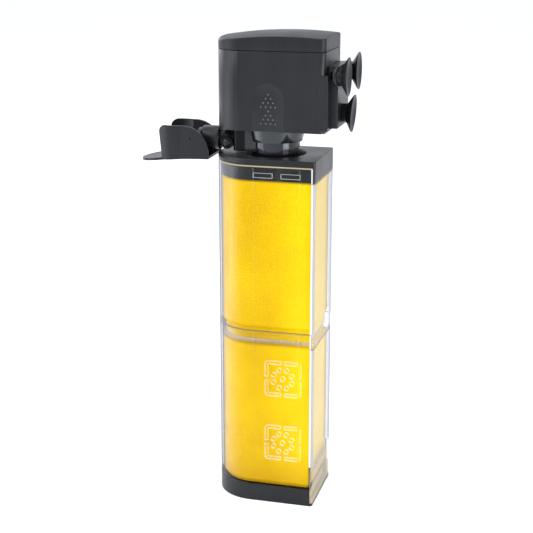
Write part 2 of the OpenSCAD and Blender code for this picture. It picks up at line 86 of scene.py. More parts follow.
class Shader:
    """A node material under construction; add() makes a node and sets or links its inputs."""

    def __init__(self, name):
        self.material = bpy.data.materials.new(name)
        self.material.use_nodes = True
        self.tree = self.material.node_tree
        self.tree.nodes.clear()
        coordinates = self.add("TexCoord").outputs
        self.place = coordinates["Object"]
        self.normal = coordinates["Normal"]

    def add(self, kind, inputs=None, **settings):
        node = self.tree.nodes.new("ShaderNode" + kind)
        for key, value in settings.items():
            setattr(node, key, value)
        for key, value in (inputs or {}).items():
            if isinstance(value, bpy.types.NodeSocket):
                self.tree.links.new(value, node.inputs[key])
            else:
                node.inputs[key].default_value = value
        return node

    def axes(self, vector):
        return self.add("SeparateXYZ", {0: vector}).outputs

    def noise(self, scale, detail=2.0, rough=0.5, stretch=(1, 1, 1)):
        where = self.add("Mapping", {"Vector": self.place, "Scale": stretch}).outputs[0]
        inputs = {"Vector": where, "Scale": scale, "Detail": detail, "Roughness": rough}
        return self.add("TexNoise", inputs).outputs["Fac"]

    def cells(self, scale):
        return self.add("TexVoronoi", {"Vector": self.place, "Scale": scale}).outputs["Distance"]

    def waves(self, scale, distortion, detail, direction):
        inputs = {"Vector": self.place, "Scale": scale, "Distortion": distortion, "Detail": detail}
        return self.add("TexWave", inputs, bands_direction=direction).outputs["Fac"]

    def span(self, value, low, high, to_low=0.0, to_high=1.0):
        inputs = {"Value": value, "From Min": low, "From Max": high, "To Min": to_low, "To Max": to_high}
        return self.add("MapRange", inputs).outputs["Result"]

    def spread(self, value, to_low=0.0, to_high=1.0):
        """Stretches a noise over the range that is wanted."""
        return self.span(value, NOISE_LOW, NOISE_HIGH, to_low, to_high)

    def calc(self, operation, one, two=0.0):
        return self.add("Math", {0: one, 1: two}, operation=operation).outputs[0]

    def times(self, one, two):
        return self.calc("MULTIPLY", one, two)

    def either(self, one, two):
        return self.calc("MAXIMUM", one, two)

    def band(self, value, low, high):
        """1 where a value lies between low and high, 0 elsewhere."""
        rising = self.span(value, low - MASK_SOFT, low + MASK_SOFT)
        falling = self.span(value, high - MASK_SOFT, high + MASK_SOFT, 1.0, 0.0)
        return self.times(rising, falling)

    def past(self, value, limit):
        """1 where a value lies past a limit, 0 short of it."""
        return self.span(value, limit - MASK_STEP, limit)

    def blend(self, factor, one, two):
        """Mixes two colours; a Mix node's colour sockets go by number, because their names repeat."""
        return self.add("Mix", {0: factor, 6: one, 7: two}, data_type="RGBA").outputs[2]

    def bump(self, height, depth, strength=1.0):
        inputs = {"Height": height, "Distance": depth, "Strength": strength}
        return self.add("Bump", inputs).outputs["Normal"]

    def principled(self, inputs):
        """Ends the material with one principled shader."""
        return self.finish(self.add("BsdfPrincipled", inputs).outputs[0])

    def finish(self, shader):
        self.add("OutputMaterial", {"Surface": shader})
        return self.material


def rgb(red, green, blue):
    return (red, green, blue, 1.0)


def shade(tone, share, blue_share):
    """A neutral dark colour with a cool cast."""
    return rgb(tone * share, tone * share, tone * blue_share)


# ------------------------------------------------------------------ plain materials

DULL_GLOSS = 0.12


def black_plastic(name, tone=0.0072, rough=0.33, grain=1.0, gloss=0.32, dull_before=None):
    """Moulded black plastic: fine spark grain, faint flow marks and handling wear.
    With dull_before, the part that lies before that Y, towards the nozzle, is less glossy."""
    s = Shader(name)
    flow = s.noise(38, detail=4, rough=0.6, stretch=(1, 1, 0.35))
    fine = s.noise(2600, detail=3, rough=0.6)
    scuffs = s.span(s.noise(160, detail=6, rough=0.7, stretch=(1, 1, 0.2)), 0.56, 0.74)
    colour = s.blend(s.spread(flow), shade(tone, 0.8, 0.85), shade(tone, 1.25, 1.35))
    colour = s.blend(s.times(scuffs, 0.2), colour, shade(tone, 3, 3.1))
    roughness = s.calc("ADD", s.spread(flow, rough - 0.05, rough + 0.05), s.times(scuffs, 0.08))
    if dull_before is not None:
        gloss = s.span(s.axes(s.place)["Y"], dull_before - MM, dull_before, DULL_GLOSS, gloss)
    return s.principled({
        "Base Color": colour, "Roughness": roughness, "Specular IOR Level": gloss,
        "Specular Tint": rgb(0.86, 0.93, 1.0), "Normal": s.bump(fine, 0.06 * MM * grain, strength=0.35),
    })


def rubber(name, tone, rough, gloss=0.4):
    """Soft black rubber with a dusty bloom."""
    s = Shader(name)
    bloom = s.noise(90, detail=5, rough=0.65)
    fine = s.noise(1500, detail=3, rough=0.6)
    colour = s.blend(s.span(bloom, 0.35, 0.7), shade(tone, 0.75, 0.8), shade(tone, 1.4, 1.5))
    return s.principled({
        "Base Color": colour, "Roughness": s.spread(bloom, rough - 0.08, rough + 0.1),
        "Specular IOR Level": gloss, "Specular Tint": rgb(0.9, 0.95, 1.0),
        "Normal": s.bump(fine, 0.05 * MM, strength=0.3),
    })


def white_plastic(name):
    """White engineering plastic of the bushes, bobbin and impeller."""
    s = Shader(name)
    clouds = s.noise(120, detail=4, rough=0.6)
    return s.principled({
        "Base Color": s.blend(s.spread(clouds), rgb(0.74, 0.73, 0.68), rgb(0.83, 0.82, 0.78)),
        "Roughness": s.spread(clouds, 0.3, 0.42), "Normal": s.bump(s.noise(1800), 0.04 * MM, strength=0.3),
    })


def lamination_steel(name):
    """Stacked sheets of silicon steel: half-millimetre layers with a touch of rust."""
    s = Shader(name)
    sheets = s.waves(100, distortion=0.3, detail=2, direction="Z")
    rust = s.span(s.noise(300, detail=6, rough=0.7), 0.55, 0.75)
    return s.principled({
        "Base Color": s.blend(s.times(rust, 0.5), rgb(0.42, 0.43, 0.45), rgb(0.25, 0.14, 0.08)),
        "Metallic": 0.9, "Roughness": s.span(rust, 0, 1, 0.38, 0.7),
        "Normal": s.bump(sheets, 0.1 * MM, strength=0.6),
    })


def copper_wire(name):
    """Enamelled copper winding: fine wires side by side."""
    s = Shader(name)
    wires = s.waves(330, distortion=0.4, detail=1, direction="X")
    return s.principled({
        "Base Color": s.blend(wires, rgb(0.35, 0.11, 0.03), rgb(0.78, 0.36, 0.14)),
        "Metallic": 0.85, "Roughness": 0.32, "Coat Weight": 0.4,
        "Normal": s.bump(wires, 0.2 * MM, strength=0.8),
    })


def plain_metal(name, colour, metallic, rough, stretch):
    """Ground or sintered metal with fine marks."""
    s = Shader(name)
    marks = s.noise(700, detail=4, rough=0.6, stretch=stretch)
    return s.principled({
        "Base Color": s.blend(s.spread(marks), rgb(*[c * 0.85 for c in colour]), rgb(*colour)),
        "Metallic": metallic, "Roughness": s.spread(marks, rough - 0.06, rough + 0.08),
        "Normal": s.bump(marks, 0.03 * MM, strength=0.4),
    })


def floor_paper(name):
    """Matt white studio paper."""
    s = Shader(name)
    fibre = s.noise(400, detail=4, rough=0.6)
    return s.principled({
        "Base Color": s.blend(fibre, rgb(0.9, 0.9, 0.9), rgb(0.95, 0.95, 0.95)), "Roughness": 0.9,
        "Specular IOR Level": 0.1, "Emission Color": rgb(1, 1, 1), "Emission Strength": 0.06,
        "Normal": s.bump(fibre, 0.1 * MM, strength=0.1),
    })


# ------------------------------------------------------------------ foam

FOAM_WALL = rgb(0.90, 0.63, 0.0008)      # bright cell walls and dark pores
FOAM_PORE = rgb(0.52, 0.30, 0.0004)
FOAM_CLOUD = rgb(0.92, 0.67, 0.001)      # broad paler patches
FOAM_SPECK = rgb(0.66, 0.38, 0.0006)     # coarse dark specks
FOAM_LIT = rgb(0.96, 0.72, 0.001)        # painted highlight: the side towards the glass, paler as if more light got in
FOAM_FOOT_SHADE = rgb(0.42, 0.22, 0.0008)      # painted shade: the darker foot of the lower block
FOAM_LIT_Y = (2 * MM, 34 * MM)
FOAM_FOOT_SHADE_Z = (46 * MM, 16 * MM)


def yellow_foam(name):
    """Open-cell filter foam: dark pores in bright walls, broad shade changes, coarse specks,
    a painted highlight on the side towards the glass, painted shade at the foot and a faint painted glow."""
    s = Shader(name)
    place = s.axes(s.place)
    depth = s.span(s.calc("ADD", s.cells(950), s.times(s.cells(2000), 0.6)), 0.3, 0.85)
    clouds = s.span(s.noise(30, detail=4, rough=0.6), 0.35, 0.7)
    specks = s.span(s.noise(560), 0.48, 0.62)
    foot = s.span(place["Z"], *FOAM_FOOT_SHADE_Z, 0.0, 0.75)
    colour = s.blend(depth, FOAM_WALL, FOAM_PORE)
    colour = s.blend(s.times(clouds, 0.3), colour, FOAM_CLOUD)
    colour = s.blend(s.times(specks, 0.4), colour, FOAM_SPECK)
    # Painted light: paler towards the glass, darker at the foot of the lower block.
    colour = s.blend(s.times(s.span(place["Y"], *FOAM_LIT_Y), 0.4), colour, FOAM_LIT)
    colour = s.blend(s.times(foot, s.span(depth, 0, 1, 0.45, 1.0)), colour, FOAM_FOOT_SHADE)
    return s.principled({
        "Base Color": colour, "Roughness": 1.0, "Specular IOR Level": 0.0,
        "Normal": s.bump(depth, 0.4 * MM, strength=0.45),
        # Painted glow: the foam shines a little by itself, in its own colour.
        "Emission Color": colour, "Emission Strength": 0.16,
    })


# ------------------------------------------------------------------ clear cups

CLEAR_TINT = 0.965             # light that a wall lets through where it is seen face on
CLEAR_SHEEN = 0.004            # its sheen there
EDGE_SHEEN = 0.42              # its sheen where it is seen edge on
EDGE_TINT = rgb(0.50, 0.51, 0.56)     # flat walls seen edge on
FRONT_TINT = rgb(0.13, 0.14, 0.19)    # the round front seen edge on, darker than the flat walls: painted shade
LEVEL_TINT = rgb(0.97, 0.97, 0.96)    # level faces at the joint
FACE_MIRROR = rgb(0.95, 0.96, 1.0)
EDGE_MIRROR = rgb(0.36, 0.37, 0.42)
PAINTED_GLOW_SHARE = 0.6               # share of a painted layer's colour that shines by itself as painted glow
CUT_PAINTED_WHITE = 0.62               # painted highlight: how white cut faces look
FLOOR_PAINTED_WHITE = 0.35             # extra painted highlight in the floor's slots
GROOVE_WHITE = 0.22            # share of the painted white that is left in the panels' unlit grooves
CUT_PAINTED_WHITE_BELOW = 0.12         # painted shade: share of that painted white on faces that look down
ROUND_Y = (8 * MM, -8 * MM)    # where the flat sides pass into the round front
BACK_WALL = 35.5 * MM          # from here on, cut faces are judged against the back wall
BACK_INNER_Y = 37.3 * MM       # just inside the back wall's inner face, with a soft edge
BACK_INNER_SOFT = 0.3 * MM
BACK_OUTER_Y = 39.7 * MM       # just inside its outer face
PANEL_Y = (-9.95 * MM, 27.55 * MM)    # grooves beside the raised panel of each side
PANEL_TOP = (19 * MM, 2 * MM)  # below the rim: the height at which those grooves are lit
CORNER_Y = 36.9 * MM           # a painted highlight runs up each back corner as a white line, and a dark line of painted shade beside it
CORNER_DARK_Y = 38.2 * MM
CORNER_END_Y = 39.9 * MM
CORNER_WALL = 1.5 * MM         # outer part of the wall that carries them
NEAR_STRIP_X = (29.2 * MM, 29.8 * MM)    # painted grey reflection: strips down the two ends of the back wall
FAR_STRIP_X = (-23.5 * MM, -24.5 * MM)
OVERLAP = 12 * MM              # how far the upper piece's skirt reaches into the lower one
JOINT_Z = 8 * MM               # above the skirt, level faces of the joint still look clear
RIM_Z = 0.9 * MM               # height of the line round the rim: a painted highlight on the upper cup, a dark joint line on the lower
RIM_CLEAR = 1.2 * MM           # level faces this close to the rim look clear too
FLOOR_Z = (0.5 * MM, 3.6 * MM)
POST_TOP_Z = 34.9 * MM            # top of the base's posts; below it the back wall carries a painted cream glow
FOOT_GLOW_FADE = 6 * MM


def cut_faces(s, x, y, turned, low, high):
    """1 on faces that cut through a cup's wall, 0 on the wall's own faces, inside and out.
    The wall faces away from the axis of the round front, straight to the side, or straight back."""
    ahead = s.calc("MINIMUM", s.calc("SUBTRACT", y, low.y + high.x), 0.0)
    reach = s.calc("POWER", s.calc("ADD", s.times(x, x), s.times(ahead, ahead)), 0.5)
    along = s.calc("ADD", s.times(x, turned["X"]), s.times(ahead, turned["Y"]))
    along = s.calc("ABSOLUTE", s.calc("DIVIDE", along, reach))
    along_back = s.times(s.calc("ABSOLUTE", turned["Y"]), s.past(y, BACK_WALL))
    return s.span(s.either(along, along_back), 0.85, 0.55)


def clear_plastic(name, low, high, strip_z, back_z, rim_colour, rim_share):
    """Clear moulded plastic seen as a thin wall: tinted see-through, with a sheen that grows at the edges.
    Cut edges, slots and the back corners carry painted highlights that look white and glow; a line runs
    round the rim, a painted highlight on the upper cup.
    Painted grey strips run down the back wall's ends, and a painted cream glow lies at its foot.
    The strips of the sides begin at strip_z, and those of the back at back_z."""
    s = Shader(name)
    x, y, z = s.axes(s.place)
    turned = s.axes(s.normal)
    side_x = s.calc("ABSOLUTE", x)
    cut = cut_faces(s, x, y, turned, low, high)

    level = s.span(s.calc("ABSOLUTE", turned["Z"]), 0.5, 0.7)
    at_joint = s.either(s.band(z, low.z - MM, low.z + OVERLAP + JOINT_Z),
                        s.span(z, high.z - RIM_CLEAR, high.z - MM))
    clear_level = s.times(level, at_joint)
    # Painted light: cut faces that look up are whiter, those that look down darker.
    upward = s.calc("ADD", turned["Z"], s.times(turned["Y"], 0.5))
    lit = s.span(upward, -0.3, 0.4, CUT_PAINTED_WHITE_BELOW, 1.0)
    slots = s.times(s.times(cut, lit), s.calc("SUBTRACT", 1.0, clear_level))
    grooves = s.calc("ADD", *[s.band(y, groove - MM, groove + MM) for groove in PANEL_Y])
    unlit = s.calc("SUBTRACT", grooves, s.band(z, high.z - PANEL_TOP[0], high.z - PANEL_TOP[1]))
    slots = s.times(slots, s.span(unlit, 0, 1, 1.0, GROOVE_WHITE))
    in_floor = s.times(s.band(z, low.z + FLOOR_Z[0], low.z + FLOOR_Z[1]), cut)
    white = s.calc("ADD", s.times(slots, CUT_PAINTED_WHITE), s.times(in_floor, FLOOR_PAINTED_WHITE))

    ripples = s.noise(34, detail=3, stretch=(1, 1, 0.3))
    normal = s.bump(ripples, 0.4 * MM, strength=0.2)
    facing = s.add("LayerWeight", {"Blend": 0.5, "Normal": normal}).outputs["Facing"]
    round_front = s.span(y, *ROUND_Y)
    sheen = s.calc("ADD", s.times(s.calc("POWER", facing, 2.7), EDGE_SHEEN), CLEAR_SHEEN)
    sheen = s.times(sheen, s.calc("SUBTRACT", 1.0, s.times(clear_level, 0.9)))
    # Painted shade: the round front darkens sooner and further at its edges than the flat walls.
    grazing = s.times(s.calc("POWER", facing, s.span(round_front, 0, 1, 5.0, 4.5)),
                      s.span(round_front, 0, 1, 1.0, 1.6))
    tint = s.blend(grazing, rgb(CLEAR_TINT, CLEAR_TINT * 1.002, CLEAR_TINT * 1.004),
                   s.blend(round_front, EDGE_TINT, FRONT_TINT))
    through = s.add("BsdfTransparent", {"Color": s.blend(clear_level, tint, LEVEL_TINT)}).outputs[0]
    scratches = s.noise(420, detail=5, rough=0.7, stretch=(1, 1, 0.15))
    gloss = s.add("BsdfGlossy", {
        "Color": s.blend(grazing, FACE_MIRROR, EDGE_MIRROR), "Roughness": s.spread(scratches, 0.14, 0.26),
        "Normal": normal,
    }).outputs[0]

    def laid(factor, under, over):
        return s.add("MixShader", {0: factor, 1: under, 2: over}).outputs[0]

    # Painted glow: a diffuse colour, part of which shines by itself as emission.
    def glow(colour, strength):
        diffuse = s.add("BsdfDiffuse", {"Color": colour}).outputs[0]
        shining = s.add("Emission", {"Color": colour, "Strength": strength}).outputs[0]
        return laid(PAINTED_GLOW_SHARE, diffuse, shining)

    corner = s.times(s.past(side_x, high.x - CORNER_WALL), s.past(z, strip_z))
    at_back = s.span(y, BACK_INNER_Y - BACK_INNER_SOFT, BACK_INNER_Y)
    foot = s.times(at_back, s.span(z, POST_TOP_Z, POST_TOP_Z - FOOT_GLOW_FADE))
    inside = s.span(side_x, high.x - MM, high.x - CORNER_WALL)
    below = s.span(z, low.z + OVERLAP, low.z + OVERLAP - MASK_STEP)
    ends = s.either(s.span(x, *NEAR_STRIP_X), s.span(x, *FAR_STRIP_X))
    back_strips = s.times(s.times(ends, s.past(y, BACK_OUTER_Y)), s.past(z, back_z))
    skirt_end_line = s.times(s.band(z, high.z - OVERLAP - RIM_Z, high.z - OVERLAP), at_back)
    # Each painted layer's mask, how much it hides, its painted colour and how brightly its painted glow
    # shines.
    layers = [
        # Painted highlight: cut faces and the floor's slots look white and glow.
        (white, 1.0, rgb(0.95, 0.95, 0.97), 0.85),
        # Painted highlight and painted shade up the back corners.
        (s.times(corner, s.band(y, CORNER_Y, CORNER_DARK_Y)), 0.8, rgb(1, 1, 1), 1.0),
        (s.times(corner, s.band(y, CORNER_DARK_Y, CORNER_END_Y)), 0.75, rgb(0.40, 0.42, 0.56), 0.9),
        # Painted glow: a cream light at the foot of the back wall.
        (s.times(foot, s.either(inside, below)), 0.45, rgb(0.74, 0.64, 0.42), 0.6),
        # Painted grey reflection down the ends of the back wall.
        (back_strips, 0.8, rgb(0.46, 0.48, 0.56), 0.8),
        # The rim line: a painted highlight on the upper cup, a dark joint line on the lower.
        (s.past(z, high.z - RIM_Z + MASK_STEP), rim_share, rim_colour, 0.8),
        # A dark brown line on the back wall where the skirt of the piece above ends.
        (skirt_end_line, 0.75, rgb(0.20, 0.14, 0.09), 0.5),
    ]
    wall = laid(sheen, through, gloss)
    for mask, share, colour, strength in layers:
        wall = laid(s.times(mask, share), wall, glow(colour, strength))
    return s.finish(wall)


# ------------------------------------------------------------------ mesh helpers

BEVEL_SEGMENTS = 2
BEVEL_ANGLE = math.radians(28)
WELD_DISTANCE = 0.002 * MM
FLAT_ANGLE = math.radians(0.3)


def link_mesh(name, mesh, material, body):
    """Makes a piece from a mesh and lets it ride on a body of the frame."""
    piece = bpy.data.objects.new(name, mesh)
    bpy.context.scene.collection.objects.link(piece)
    mesh.materials.append(material)
    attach(piece, body)
    return piece


def mesh_from(built, name):
    """Turns a finished bmesh into a mesh."""
    mesh = bpy.data.meshes.new(name)
    built.to_mesh(mesh)
    built.free()
    return mesh


def join_rings(built, lower, upper, flip=False):
    """Joins two rings of vertices by a band of quads."""
    for i in range(len(lower)):
        quad = (lower[i - 1], lower[i], upper[i], upper[i - 1])
        built.faces.new(quad[::-1] if flip else quad)


def join_middle(built, ring, middle, flip=False):
    """Joins a ring of vertices to one in its middle by a fan of triangles."""
    for i in range(len(ring)):
        tri = (ring[i - 1], ring[i], middle)
        built.faces.new(tri[::-1] if flip else tri)


def close_end(built, edge, centre, steps, place, middle, flip):
    """Closes an open ring by smaller and smaller rings about a centre, with a fan in the middle."""
    outer = edge
    base = [v.co.xy for v in edge]
    for step in range(1, steps):
        inner = [built.verts.new(place(centre.lerp(p, 1 - step / steps))) for p in base]
        join_rings(built, outer, inner, flip)
        outer = inner
    join_middle(built, outer, built.verts.new(middle), flip)


def soften_edges(node, width):
    """Rounds the sharp edges of a CAD node for the render; its own mesh stays as it is."""
    weld = node.modifiers.new("weld", "WELD")
    weld.merge_threshold = WELD_DISTANCE
    flat = node.modifiers.new("flat", "DECIMATE")
    flat.decimate_type = "DISSOLVE"
    flat.angle_limit = FLAT_ANGLE
    bevel = node.modifiers.new("bevel", "BEVEL")
    bevel.width = width
    bevel.segments = BEVEL_SEGMENTS
    bevel.limit_method = "ANGLE"
    bevel.angle_limit = BEVEL_ANGLE
    bevel.use_clamp_overlap = False
    bevel.harden_normals = True
    bevel.miter_outer = "MITER_ARC"


# ------------------------------------------------------------------ sponges

SPONGE_STEP = 1.3 * MM       # spacing of the points of its skin
SPONGE_EDGE = 1.4 * MM       # radius of its top and bottom edges
SPONGE_CORNER = 1.2 * MM     # radius of its back corners
SPONGE_SWELL = 0.8 * MM      # the blocks fill the cups a little better than the plain CAD blocks
SPONGE_FOOT = 11.1 * MM      # height of the foot, narrower by SPONGE_TAPER to fit inside a skirt
SPONGE_TAPER = 1.8 * MM
SPONGE_END_RINGS = 22
PORE_DEPTH = 0.55 * MM
PORE_SCALES = (900, 1900)
SPONGE_RIPPLE = 0.25 * MM
RIPPLE_SCALE = 22


def d_outline(half, front, back, corner, count):
    """Evenly spaced points round the canister's D shape: round front, flat back, small back corners."""
    centre = front + half
    straight = back - corner - centre
    quarter = corner * math.pi / 2
    lengths = [math.pi * half, straight, quarter, 2 * (half - corner), quarter, straight]
    total = sum(lengths)
    points = []
    for i in range(count):
        at = total * i / count
        stretch = 0
        while at > lengths[stretch]:
            at -= lengths[stretch]
            stretch += 1
        share = at / lengths[stretch]
        if stretch == 0:
            angle = math.pi * (1 + share)
            point = (half * math.cos(angle), centre + half * math.sin(angle))
        elif stretch == 1:
            point = (half, centre + at)
        elif stretch == 3:
            point = (half - corner - at, back)
        elif stretch == 5:
            point = (-half, back - corner - at)
        else:
            side = 1 if stretch == 2 else -1
            angle = math.pi / 2 * (share if side > 0 else 1 + share)
            point = (side * (half - corner) + corner * math.cos(angle),
                     back - corner + corner * math.sin(angle))
        points.append(Vector(point))
    return points


def foam_point(place, outward):
    """Sinks a point of the foam's skin by its pores and by a slow ripple; never moves it outward."""
    pore = noise.noise(place * PORE_SCALES[0]) * 0.6 + noise.noise(place * PORE_SCALES[1]) * 0.4
    ripple = 0.5 + 0.5 * noise.noise(place * RIPPLE_SCALE)
    sink = PORE_DEPTH * (0.5 + 0.5 * pore) + SPONGE_RIPPLE * ripple
    return place - outward * sink


def make_sponge(name, node_name, body, material):
    """A cut block of foam: round edges, a narrower foot, and open pores over its skin."""
    low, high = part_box(node_name)
    height = high.z - low.z
    rows = round(height / SPONGE_STEP)
    half = high.x + SPONGE_SWELL
    front, back = low.y - SPONGE_SWELL, high.y + SPONGE_SWELL
    count = round((math.pi * half + 2 * (back - front)) / SPONGE_STEP)
    built = bmesh.new()
    rings = []
    for row in range(rows + 1):
        up = height * row / rows
        inset = SPONGE_TAPER if up < SPONGE_FOOT else 0.0
        for edge in (up, height - up):
            if edge < SPONGE_EDGE:
                inset += SPONGE_EDGE - math.sqrt(SPONGE_EDGE ** 2 - (SPONGE_EDGE - edge) ** 2)
        outline = d_outline(half - inset, front + inset, back - inset, SPONGE_CORNER, count)
        ring = []
        for i, point in enumerate(outline):
            along = outline[(i + 1) % count] - outline[i - 1]
            outward = Vector((along.y, -along.x, 0)).normalized()
            ring.append(built.verts.new(foam_point(Vector((point.x, point.y, low.z + up)), outward)))
        rings.append(ring)
    for lower, upper in zip(rings, rings[1:]):
        join_rings(built, lower, upper)
    centre = Vector((0, front + half))
    for ring, z, facing in ((rings[0], low.z, -1), (rings[-1], high.z, 1)):
        def end_point(p):
            return foam_point(Vector((p.x, p.y, z)), Vector((0, 0, facing)))

        middle = (centre.x, centre.y, z - facing * PORE_DEPTH)
        close_end(built, ring, centre, SPONGE_END_RINGS, end_point, middle, facing < 0)
    mesh = mesh_from(built, name)
    mesh.shade_smooth()
    piece = link_mesh(name, mesh, material, body)
    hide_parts(node_name)


# ------------------------------------------------------------------ pump cap

CROWN_Y = 14 * MM            # where the crown is highest, and its radii along and across the head
CROWN_LONG = 330 * MM
CROWN_ACROSS = 165 * MM
CAP_FRONT_R = 22 * MM
CAP_BACK_R = 4.8 * MM
CAP_EDGE = 0.6 * MM          # radius of the crown's edge, and what it gains towards the front
CAP_BROW = 2.4 * MM
CAP_EDGE_STEPS = 7
CAP_SEAM = 0.4 * MM          # gap between the housing and the cap
CAP_SEAM_EDGE = 0.35 * MM
CAP_SEAM_FACET = 0.1 * MM
CAP_LIP_IN = 2.7 * MM
CAP_WALL = 4.2 * MM
CAP_POCKET = 5.3 * MM
CAP_TOP_RINGS = 16
CAP_SHARP = math.radians(40)
GLAND_HOLE = 3.5 * MM
DRILL_LENGTH = 50 * MM
DRILL_SIDES = 64
OUTLINE_ARC_STEPS = 14
OUTLINE_STEP = 4 * MM


def head_outline(half, front, back, inset):
    """The pump head's outline with its outward directions: large front corners and small back ones."""
    corners = [(1, back, CAP_BACK_R, 0), (-1, back, CAP_BACK_R, 90),
               (-1, front, CAP_FRONT_R, 180), (1, front, CAP_FRONT_R, 270)]
    points = []
    for side, end, radius, start in corners:
        centre = Vector((side * (half - radius), end - math.copysign(radius, end)))
        for i in range(OUTLINE_ARC_STEPS + 1):
            angle = math.radians(start + 90 * i / OUTLINE_ARC_STEPS)
            out = Vector((math.cos(angle), math.sin(angle)))
            points.append((centre + out * (radius - inset(out)), out))
    dense = []
    for (a, out_a), (b, out_b) in zip(points, points[1:] + points[:1]):
        parts = max(1, round((b - a).length / OUTLINE_STEP))
        for i in range(parts):
            dense.append((a.lerp(b, i / parts), out_a.lerp(out_b, i / parts)))
    return dense


def make_cap(node_name, body, material):
    """The crowned cap, with a soft edge all round, its pocket and lip below, and the gland's hole."""
    low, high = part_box(node_name)
    gland_low, gland_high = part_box("cable_gland")
    seam_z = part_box("pump_housing")[1].z + CAP_SEAM
    pocket_z = seam_z + CAP_POCKET
    half, front, back = high.x, low.y, high.y
    built = bmesh.new()

    def crown(point):
        long_way = CROWN_LONG - math.sqrt(CROWN_LONG ** 2 - (point.y - CROWN_Y) ** 2)
        across = CROWN_ACROSS - math.sqrt(CROWN_ACROSS ** 2 - point.x ** 2)
        return high.z - long_way - across

    def edge_r(out):
        return CAP_EDGE + CAP_BROW * max(0.0, -out.y) ** 2

    def ring(inset, height):
        outline = head_outline(half, front, back, inset)
        return [built.verts.new((p.x, p.y, height(p, out))) for p, out in outline]

    profile = [(CAP_WALL, pocket_z), (CAP_WALL, low.z), (CAP_LIP_IN, low.z), (CAP_LIP_IN, seam_z),
               (CAP_SEAM_EDGE, seam_z), (CAP_SEAM_FACET, seam_z + CAP_SEAM_FACET),
               (0.0, seam_z + CAP_SEAM_EDGE)]
    rings = [ring(lambda out: inset, lambda p, out: z) for inset, z in profile]
    for i in range(CAP_EDGE_STEPS + 1):
        turn = math.pi / 2 * i / CAP_EDGE_STEPS
        rings.append(ring(lambda out: edge_r(out) * (1 - math.cos(turn)),
                          lambda p, out: crown(p) - edge_r(out) * (1 - math.sin(turn))))
    for lower, upper in zip(rings, rings[1:]):
        join_rings(built, lower, upper)
    centre = Vector((0, (front + back) / 2))
    for edge, height, flip in ((rings[-1], crown, False), (rings[0], lambda p: pocket_z, True)):
        def end_point(p):
            return (p.x, p.y, height(p))

        close_end(built, edge, centre, CAP_TOP_RINGS, end_point, end_point(centre), flip)
    piece = link_mesh("pump_cap_shell", mesh_from(built, "pump_cap_shell"), material, body)
    cut_hole(piece, (gland_low + gland_high) / 2, GLAND_HOLE)
    piece.data.shade_smooth()
    piece.data.set_sharp_from_angle(angle=CAP_SHARP)
    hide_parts(node_name)


def cut_hole(piece, centre, radius):
    """Drills a vertical round hole through a piece."""
    drill = bmesh.new()
    bmesh.ops.create_cone(drill, cap_ends=True, segments=DRILL_SIDES, radius1=radius, radius2=radius,
                          depth=DRILL_LENGTH, matrix=Matrix.Translation(centre))
    tool = bpy.data.objects.new("drill", mesh_from(drill, "drill"))
    bpy.context.scene.collection.objects.link(tool)
    cutter = piece.modifiers.new("hole", "BOOLEAN")
    cutter.object = tool
    cutter.operation = "DIFFERENCE"
    cutter.solver = "EXACT"
    shaped = bpy.data.meshes.new_from_object(piece.evaluated_get(bpy.context.evaluated_depsgraph_get()))
    piece.modifiers.clear()
    shaped.name = piece.name
    piece.data = shaped
    bpy.data.objects.remove(tool)


# ------------------------------------------------------------------ small moulded details

DOT_R = 0.72 * MM
DOT_RISE = 0.55 * MM
DOME_SINK = 0.2 * MM
DOME_SIDES = 14
DOME_RINGS = 4
GRIP_TOP = 339.8 * MM        # height of the grip's top row
GRIP_ROW = 3.25 * MM
GRIP_GAP = 3.9 * MM
GRIP_CENTRE = 0.7 * MM
GRIP_ROWS = (1, 2, 3, 4, 1, 2, 3, 4)    # dots in each row, from the top
BACK_DOT_R = 0.55 * MM
BACK_DOT_GAP = 2.4 * MM
BACK_DOT_ROW = 0.8 * BACK_DOT_GAP
BACK_DOT_RISE = 0.06 * MM    # the bracket slides past them in a gap of about 0.1 mm
BACK_DOT_ROWS = 8
BACK_DOT_X = (-24 * MM, 11 * MM)
NOZZLE_MARK_Y = -66.6 * MM
NOZZLE_MARK_Z = 300.8 * MM
NOZZLE_MARK_RISE = 0.1 * MM
OUTSIDE = 60 * MM            # outside the head and the nozzle, where the search for their skin starts


def add_dome(built, place, normal, radius, rise):
    """A low round dome, sunk a little into the surface that it stands on."""
    turn = normal.to_track_quat("Z", "Y").to_matrix().to_4x4()
    around = [2 * math.pi * i / DOME_SIDES for i in range(DOME_SIDES)]
    rings = []
    for ring in range(DOME_RINGS):
        angle = math.pi / 2 * ring / DOME_RINGS
        r, z = radius * math.cos(angle), rise * math.sin(angle)
        rings.append([built.verts.new(place + turn @ Vector((r * math.cos(t), r * math.sin(t), z)))
                      for t in around])
    rings.insert(0, [built.verts.new(v.co - normal * DOME_SINK) for v in rings[0]])
    for lower, upper in zip(rings, rings[1:]):
        join_rings(built, lower, upper)
    join_middle(built, rings[-1], built.verts.new(place + normal * rise))
    join_middle(built, rings[0], built.verts.new(place - normal * DOME_SINK), flip=True)


def make_dots(name, places, towards, node_name, body, material, radius, rise):
    """Small domes moulded on a CAD surface, found by looking along a direction from each place."""
    surface = NODES[node_name].data
    tree = BVHTree.FromPolygons([v.co for v in surface.vertices], [p.vertices[:] for p in surface.polygons])
    built = bmesh.new()
    for start in places:
        hit, normal, _, _ = tree.ray_cast(start, towards)
        if hit is not None:
            add_dome(built, hit, normal if normal.dot(towards) < 0 else -normal, radius, rise)
    mesh = mesh_from(built, name)
    mesh.shade_smooth()
    link_mesh(name, mesh, material, body)


